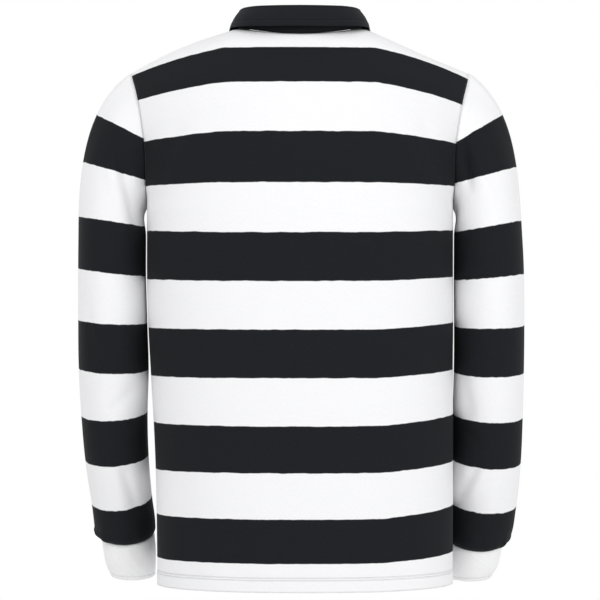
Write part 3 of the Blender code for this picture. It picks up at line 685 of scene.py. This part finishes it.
def rib_knit(name, sizes):
    """White cotton rib, knitted two by two: upright ribs 3 mm apart with soft shade between them."""
    made, tree, shader = new_material(name)
    uv, across, _ = cloth_lengths(tree)
    fibre = noise(tree, uv, scale=700.0, detail=2.0)
    height = maths(tree, "MULTIPLY_ADD", fibre, 0.5, ripple(tree, across, sizes.rib))
    normal = relief(tree, shader, height, strength=0.25, distance=0.0005)
    troughs = stitch_height(tree, across, kept_value(tree, "edge"), (CUFF_STITCHES,), length=0.0030)
    stitched(tree, shader, normal, troughs, strength=0.7, distance=0.0010)
    shader.inputs["Base Color"].default_value = (*sizes.white_high, 1.0)
    cloth_shader(shader, roughness=0.88, sheen=0.03, tint=(1.0, 1.0, 1.0, 1.0))
    return made


def twill(name, sizes, places):
    """Black cotton drill, woven: a fine diagonal rib that dulls the light, topstitched in the same black."""
    made, tree, shader = new_material(name)
    uv, across, along = cloth_lengths(tree)
    ribs = ripple(tree, maths(tree, "ADD", across, along), 0.0012)
    fibre = noise(tree, uv, scale=900.0, detail=3.0)
    colour = mixed(tree, fibre, (*sizes.black_low, 1.0), (*sizes.black_high, 1.0))
    tree.links.new(colour, shader.inputs["Base Color"])
    normal = relief(tree, shader, ribs, strength=0.25, distance=0.0003)
    troughs = stitch_height(tree, across, kept_value(tree, "edge"), places, length=0.0028)
    stitched(tree, shader, normal, troughs, strength=1.0, distance=0.0012)
    cloth_shader(shader, roughness=0.82, sheen=0.03, tint=(0.8, 0.85, 1.0, 1.0))
    return made


def resin(name):
    """Cast polyester button resin, tumbled: off-white, smooth, with a soft highlight and faint clouding."""
    made, tree, shader = new_material(name)
    place = add(tree, "ShaderNodeTexCoord").outputs["Object"]
    cloud = noise(tree, place, scale=400.0, detail=3.0)
    tree.links.new(mixed(tree, cloud, linear("#DAD9D4"), linear("#EDECE8")), shader.inputs["Base Color"])
    shader.inputs["Roughness"].default_value = 0.3
    shader.inputs["IOR"].default_value = 1.55
    return made


def cloth_piece(name, grid, closed, thick, material, course=None, edge=None, levels=0):
    """A grid of points as a piece of cloth with its lengths as UV map, thickened inwards."""
    rows, columns = grid.shape[:2]
    faces = grid_faces(rows, columns, closed)
    mesh = bpy.data.meshes.new(name)
    mesh.from_pydata(grid.reshape(-1, 3), [], faces.tolist())
    across, along = lengths(grid, closed)
    wide = across.shape[1]
    i, j = np.meshgrid(np.arange(rows - 1), np.arange(wide - 1), indexing="ij")
    corners = ((i, j), (i, j + 1), (i + 1, j + 1), (i + 1, j))
    uv = np.stack([np.stack([across[a, b], along[a, b]], axis=-1) for a, b in corners], axis=2)
    layer = mesh.uv_layers.new(name="cloth")
    layer.data.foreach_set("uv", uv.reshape(-1).astype(np.float32))
    for label, values in (("course", course), ("edge", edge)):
        if values is not None:
            kept = mesh.attributes.new(label, "FLOAT", "POINT")
            spread = np.broadcast_to(values, (rows, columns)).reshape(-1)
            kept.data.foreach_set("value", spread.astype(np.float32))
    mesh.shade_smooth()
    mesh.materials.append(material)
    made = bpy.data.objects.new(name, mesh)
    bpy.context.scene.collection.objects.link(made)
    wall = made.modifiers.new("Thickness", "SOLIDIFY")
    wall.thickness = thick
    wall.offset = -1
    return made


def settle(piece, node):
    """Puts a finished piece in the place of its CAD node."""
    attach(piece, "root")
    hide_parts(node)


class ClothSizes(PropertyGroup):
    """Thicknesses, spacings and yarn colours of the cloth"""

    jersey: FloatProperty(name="Jersey", description="Thickness of the hooped jersey", default=0.0013,
                          min=0.0005, max=0.003, unit="LENGTH")
    rib_cloth: FloatProperty(name="Rib cloth", description="Thickness of the cuffs", default=0.0020,
                             min=0.0005, max=0.004, unit="LENGTH")
    drill: FloatProperty(name="Drill", description="Thickness of the collar cloth", default=0.0016,
                         min=0.0005, max=0.003, unit="LENGTH")
    wale: FloatProperty(name="Wale", description="Spacing of the knit's wales", default=0.0015, unit="LENGTH")
    rib: FloatProperty(name="Rib", description="Spacing of the cuffs' ribs", default=0.0030, unit="LENGTH")
    hem: FloatProperty(name="Hem", description="Height of the turned hem", default=0.018, unit="LENGTH")
    black_low: FloatVectorProperty(name="Black, deep", description="Black yarn between the wales",
                                   default=linear("#101215")[:3], size=3, subtype="COLOR")
    black_high: FloatVectorProperty(name="Black, raised", description="Black yarn on the wales",
                                    default=linear("#1E2125")[:3], size=3, subtype="COLOR")
    white_low: FloatVectorProperty(name="White, deep", description="White yarn between the wales",
                                   default=linear("#E2E2E4")[:3], size=3, subtype="COLOR")
    white_high: FloatVectorProperty(name="White, raised", description="White yarn on the wales",
                                    default=linear("#EEEEEF")[:3], size=3, subtype="COLOR")


class StageSizes(PropertyGroup):
    """Places of the camera and the floor"""

    distance: FloatProperty(name="Camera distance", description="From the camera to the side seams",
                            default=3.5, min=1, max=10, unit="LENGTH")
    height: FloatProperty(name="Camera height", description="Height of the camera over the neck's side",
                          default=-0.287, unit="LENGTH")
    aim: FloatProperty(name="Aim", description="Height that the camera looks at",
                       default=-0.3446, unit="LENGTH")
    view: FloatProperty(name="View", description="Width of the view at the side seams",
                        default=0.768, unit="LENGTH")
    floor: FloatProperty(name="Floor", description="Height of the floor", default=-1.45, unit="LENGTH")
    sides: IntProperty(name="Floor sides", description="Sides of the round floor", default=96)


class SHIRT_OT_body(Operator):
    """The back and the front, with seams, a turned hem and soft creases"""

    bl_idname = "shirt.body"
    bl_label = "Back and front"

    def execute(self, context):
        sizes = context.scene.shirt_cloth
        pieces, hoops = shirt()
        jersey = hooped_jersey("yarn_dyed_cotton_jersey", sizes, (sizes.hem - HEM_ROWS, sizes.hem))
        for name in ("back", "front"):
            grid, normal = pieces[name]
            across, along = lengths(grid, False)
            total = along[-1]
            down = total - along
            side = np.minimum(across - across[:, :1], across[:, -1:] - across)
            lift = creased(grid, normal, BODY_CREASES)
            lift = lift * (1 - np.exp(-((side / PANEL_FADE) ** 2)))
            lift += seam_dip(side, *SIDE_SEAM) + seam_dip(down, *TOP_SEAM)
            # The turned hem stands a little proud and is drawn in by its stitching
            lift += HEM_PROUD * (along < sizes.hem) + seam_dip(along - sizes.hem, *HEM_SEAM)
            made = cloth_piece(name + "_cloth", grid + lift[..., None] * normal, False, sizes.jersey, jersey,
                               hoops[name], along)
            settle(made, name)
        return {"FINISHED"}


class SHIRT_OT_sleeves(Operator):
    """Both sleeves, creased at the armholes and elbows and eased into the cuffs"""

    bl_idname = "shirt.sleeves"
    bl_label = "Sleeves"

    def execute(self, context):
        sizes = context.scene.shirt_cloth
        pieces, hoops = shirt()
        jersey = hooped_jersey("yarn_dyed_cotton_jersey_sleeve", sizes, ())
        for name, creases in (("sleeve_left", LEFT_CREASES), ("sleeve_right", RIGHT_CREASES)):
            grid, normal = pieces[name]
            across, along = lengths(grid, True)
            along = along[:, :-1]
            down = along[-1] - along
            ends = np.minimum(along, down)
            lift = creased(grid, normal, creases) * (1 - np.exp(-((ends / SLEEVE_FADE) ** 2)))
            lift += seam_dip(ends, *SIDE_SEAM)
            # Small gathers where the sleeve is eased into the cuff, uneven round the wrist
            turn = np.linspace(0, 2 * np.pi, grid.shape[1], endpoint=False)
            gather = np.sin(GATHER_WAVES[0] * turn + 0.8 * np.sin(2 * turn))
            gather = gather + 0.5 * np.sin(GATHER_WAVES[1] * turn + 1.0)
            free = 1 - np.exp(-((down / GATHER_FLAT) ** 2))
            lift += GATHER_DEPTH * gather * np.exp(-((down / GATHER_REACH) ** 2)) * free
            made = cloth_piece(name + "_cloth", grid + lift[..., None] * normal, True, sizes.jersey, jersey,
                               hoops[name])
            settle(made, name)
        return {"FINISHED"}


class SHIRT_OT_cuffs(Operator):
    """Both rib cuffs"""

    bl_idname = "shirt.cuffs"
    bl_label = "Cuffs"

    def execute(self, context):
        sizes = context.scene.shirt_cloth
        pieces, _ = shirt()
        rib = rib_knit("white_cotton_rib", sizes)
        for name in ("cuff_left", "cuff_right"):
            grid, normal = pieces[name]
            across, along = lengths(grid, True)
            along = along[:, :-1]
            down = along[-1] - along
            turn = across[:, :-1]
            lift = seam_dip(along, *CUFF_SEAM) + seam_dip(down - CUFF_STITCHES, *CUFF_TROUGH)
            lift = lift + RIB_HEIGHT * np.sin(2 * np.pi * turn / sizes.rib)
            made = cloth_piece(name + "_cloth", grid + lift[..., None] * normal, True, sizes.rib_cloth, rib,
                               edge=down)
            settle(made, name)
        return {"FINISHED"}


class SHIRT_OT_collar(Operator):
    """The collar's stand and its fold-down leaf"""

    bl_idname = "shirt.collar"
    bl_label = "Collar"

    def execute(self, context):
        sizes = context.scene.shirt_cloth
        pieces, _ = shirt()
        drill = twill("black_cotton_drill", sizes, (0.0070,))
        plain = twill("black_cotton_drill_stand", sizes, (0.0020,))
        # Flat cut of each: longest edge, greatest height, area, and how it is held
        cuts = (
            ("stand", plain, (0.552, 0.034), 0.0119, "stretched"),
            ("leaf", drill, (0.640, 0.098), 0.0241, "folded"),
        )
        for name, cloth, flat, area, held in cuts:
            grid, normal = pieces[name]
            grid = grid.copy()
            for edge, beside in ((0, 1), (-1, -2)):
                grid[:, edge] += COLLAR_END * unit(grid[:, beside] - grid[:, edge])
            across, along = lengths(grid, False)
            side = np.minimum(across - across[:, :1], across[:, -1:] - across)
            edge = along if name == "stand" else np.minimum(along[-1] - along, side)
            lift = np.zeros(grid.shape[:2])
            if name == "leaf":
                # The outer face is the far one, so the swell along its edge goes that way
                high, place, wide = LEAF_SWELL
                lift = -high * np.exp(-(((edge - place) / wide) ** 2))
                # A slow wave grows from the fold down
                high, radian, growth = LEAF_WAVE
                lift = lift + high * np.sin(across / radian) * np.clip(along / growth, 0, 1)
            moved = grid + lift[..., None] * normal
            made = cloth_piece(f"collar_{name}_cloth", moved, False, sizes.drill, cloth, edge=edge)
            settle(made, f"collar_{name}")
        return {"FINISHED"}


class SHIRT_OT_placket(Operator):
    """The plain placket and its two buttons"""

    bl_idname = "shirt.placket"
    bl_label = "Placket and buttons"

    def execute(self, context):
        sizes = context.scene.shirt_cloth
        pieces, _ = shirt()
        front, _ = pieces["front"]
        low = np.linspace(PLACKET_COURSES[0], PLACKET_COURSES[1], PLACKET_GRID[0])
        x = np.linspace(PLACKET_HALF, -PLACKET_HALF, PLACKET_GRID[1])
        under = np.concatenate([on_front(low, x), across_rows(front[-YOKES[1]:], x)])
        under[-1] += PLACKET_SHORT * unit(under[-2] - under[-1])
        normal = shared_normals([under], [False], [0])[0]
        face = under + (ON_CLOTH + CAD_JERSEY) * normal
        across, along = lengths(face, False)
        side = np.minimum(across - across[:, :1], across[:, -1:] - across)
        edge = np.minimum(side, along)
        cloth = twill("black_cotton_drill_placket", sizes, (0.0030,))
        made = cloth_piece("placket_cloth", face, False, sizes.drill, cloth, edge=edge)
        settle(made, "placket")
        finish = resin("cast_button_resin")
        for number, course in enumerate(BUTTON_COURSES, 1):
            made = button(f"button_{number}_resin", course, finish)
            settle(made, f"button_{number}")
        return {"FINISHED"}


def across_rows(rows, x):
    """Points of the given rows at the given distances from the centre line, which run from right to left."""
    found = np.empty((len(rows), len(x), 3))
    for i, line in enumerate(rows):
        for k in range(3):
            found[i, :, k] = np.interp(-x, -line[:, 0], line[:, k])
    return found


def on_front(course, x):
    """Points of the front on the given courses at the given distances from the centre line."""
    return across_rows(courses(FRONT, course, np.linspace(0.5, -0.5, 201), 1), x)


def button(name, course, material):
    """A turned button: a rim and a dished middle, as a profile carried round its axis."""
    # The cloth's slopes, from points a little above, below and beside the button's middle
    spot = on_front(np.array([course - 0.05, course, course + 0.05]), np.array([0.004, 0.0, -0.004]))
    along = unit(spot[1, 0] - spot[1, 2])
    up = unit(spot[2, 1] - spot[0, 1])
    out = unit(np.cross(up, along))
    base = spot[1, 1] + out * (2 * ON_CLOTH + CAD_JERSEY)
    # Shares of the radius and of the thickness, from the middle of the underside over the rim to the top
    profile = np.array([
        (0.00, 0.00), (0.86, 0.00), (0.95, 0.10), (1.00, 0.35), (1.00, 0.65), (0.96, 0.88), (0.88, 1.00),
        (0.78, 0.98), (0.70, 0.78), (0.55, 0.66), (0.30, 0.62), (0.00, 0.62),
    ])
    turn = np.linspace(0, 2 * np.pi, BUTTON_SIDES, endpoint=False)
    ring = np.cos(turn)[:, None] * along + np.sin(turn)[:, None] * up
    rings = profile[1:-1]
    points = base + BUTTON_RADIUS * rings[:, :1, None] * ring + BUTTON_THICK * rings[:, 1:, None] * out
    ends = base + BUTTON_THICK * profile[[0, -1], 1][:, None] * out
    count = len(turn)
    faces = grid_faces(len(rings), count, True).tolist()
    j = np.arange(count)
    last = len(rings) * count
    low = np.stack([np.full(count, last), (j + 1) % count, j], axis=-1)
    top = np.stack([np.full(count, last + 1), j + last - count, (j + 1) % count + last - count], axis=-1)
    mesh = bpy.data.meshes.new(name)
    mesh.from_pydata(np.concatenate([points.reshape(-1, 3), ends]), [], faces + low.tolist() + top.tolist())
    mesh.shade_smooth()
    mesh.materials.append(material)
    made = bpy.data.objects.new(name, mesh)
    bpy.context.scene.collection.objects.link(made)
    return made


def area_light(name, place, target, size, power):
    """A square softbox that faces its target."""
    lamp = bpy.data.lights.new(name, "AREA")
    lamp.shape = "SQUARE"
    lamp.size = size
    lamp.energy = power
    made = bpy.data.objects.new(name, lamp)
    bpy.context.scene.collection.objects.link(made)
    made.location = place
    run = np.array(target) - np.array(place)
    flat = np.hypot(run[0], run[1])
    made.rotation_euler = (math.atan2(flat, -run[2]), 0, math.atan2(-run[0], run[1]))
    return made


class SHIRT_OT_stage(Operator):
    """Pale floor, soft studio light and the camera at the photograph's angle"""

    bl_idname = "shirt.stage"
    bl_label = "Stage"

    def execute(self, context):
        sizes = context.scene.shirt_stage
        turn = np.linspace(0, 2 * np.pi, sizes.sides, endpoint=False)
        level = np.full(sizes.sides, sizes.floor)
        rim = np.stack([FLOOR_RADIUS * np.cos(turn), FLOOR_RADIUS * np.sin(turn), level], axis=-1)
        mesh = bpy.data.meshes.new("floor")
        mesh.from_pydata(rim, [], [list(range(sizes.sides))])
        painted, _, shader = new_material("pale_painted_floor")
        shader.inputs["Base Color"].default_value = linear("#F2F2F2")
        shader.inputs["Roughness"].default_value = 0.9
        mesh.materials.append(painted)
        floor = bpy.data.objects.new("floor", mesh)
        context.scene.collection.objects.link(floor)
        # A white wall stands behind the shirt; the room before it is dimmer, so that the softboxes shape it
        world = bpy.data.worlds.new("studio_white")
        world.use_nodes = True
        tree = world.node_tree
        place = add(tree, "ShaderNodeTexCoord").outputs["Generated"]
        split = add(tree, "ShaderNodeSeparateXYZ", {0: place})
        wall = smooth_step(tree, split.outputs[1], -0.1, 0.6, 0.66, 1.0)
        tree.links.new(wall, tree.nodes["Background"].inputs["Strength"])
        tree.nodes["Background"].inputs["Color"].default_value = (1.0, 1.0, 1.0, 1.0)
        context.scene.world = world
        key = area_light("key_softbox", *KEY_LIGHT)
        fill = area_light("fill_softbox", *FILL_LIGHT)
        context.scene.view_settings.view_transform = "Standard"
        lens = bpy.data.cameras.new("camera")
        lens.sensor_fit = "HORIZONTAL"
        lens.angle = 2 * math.atan(sizes.view / 2 / sizes.distance)
        camera = bpy.data.objects.new("camera", lens)
        context.scene.collection.objects.link(camera)
        camera.location = (0, -sizes.distance, sizes.height)
        camera.rotation_euler = (math.pi / 2 + math.atan2(sizes.aim - sizes.height, sizes.distance), 0, 0)
        context.scene.camera = camera
        return {"FINISHED"}


class SHIRT_PT_pieces(Panel):
    """The shirt's pieces and sizes"""

    bl_idname = "SHIRT_PT_pieces"
    bl_label = "Hooped shirt"
    bl_space_type = "VIEW_3D"
    bl_region_type = "UI"
    bl_category = "Shirt"

    def draw(self, context):
        for group in (context.scene.shirt_cloth, context.scene.shirt_stage):
            for name in group.bl_rna.properties.keys():
                if name not in ("rna_type", "name"):
                    self.layout.prop(group, name)
        for operator in OPERATORS:
            self.layout.operator(operator.bl_idname)


OPERATORS = (
    SHIRT_OT_body,
    SHIRT_OT_sleeves,
    SHIRT_OT_cuffs,
    SHIRT_OT_collar,
    SHIRT_OT_placket,
    SHIRT_OT_stage,
)
CLASSES = (ClothSizes, StageSizes, *OPERATORS, SHIRT_PT_pieces)


def register():
    for each in CLASSES:
        bpy.utils.register_class(each)
    bpy.types.Scene.shirt_cloth = PointerProperty(type=ClothSizes)
    bpy.types.Scene.shirt_stage = PointerProperty(type=StageSizes)


def unregister():
    del bpy.types.Scene.shirt_stage
    del bpy.types.Scene.shirt_cloth
    for each in reversed(CLASSES):
        bpy.utils.unregister_class(each)


def main():
    register()
    bpy.ops.shirt.body()
    bpy.ops.shirt.sleeves()
    bpy.ops.shirt.cuffs()
    bpy.ops.shirt.collar()
    bpy.ops.shirt.placket()
    bpy.ops.shirt.stage()


if __name__ == "__main__":
    main()
